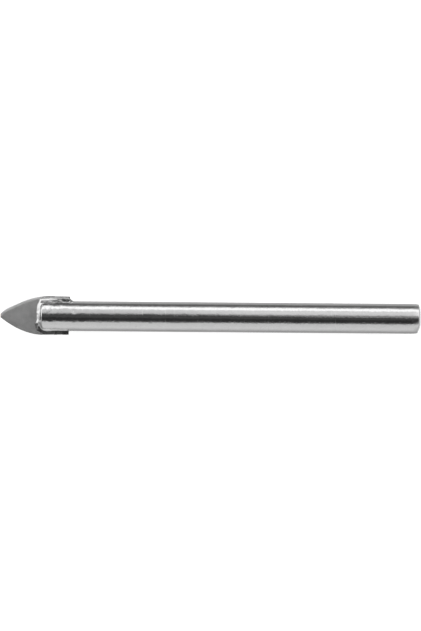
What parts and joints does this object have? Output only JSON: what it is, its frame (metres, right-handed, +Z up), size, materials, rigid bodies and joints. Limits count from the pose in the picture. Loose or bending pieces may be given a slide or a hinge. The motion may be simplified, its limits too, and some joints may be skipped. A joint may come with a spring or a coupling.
{
  "type": "glass and tile drill bit",
  "caption": "Spear-point drill bit: a flat carbide plate with two curved ground lips, brazed into the slotted end of a plain round plated steel shank.",
  "frame": {"origin": "on the surface that the bit lies on, below the middle of its length and below the axis of the shank", "axes": "X along the axis of the shank, with the carbide point towards -X and the rear end towards +X; +Z up, square to the flat faces of the carbide plate; +Y across the plate, towards the lip that cuts with its lower edge"},
  "size_m": [0.0842, 0.0078, 0.006],
  "materials": {
    "plated_steel": "gloss",
    "tungsten_carbide": "satin",
    "silver_braze": "gloss"
  },
  "bodies": {
    "root": {"shank": "plated_steel", "carbide_tip": "tungsten_carbide", "braze": "silver_braze"}
  },
  "joints": []
}
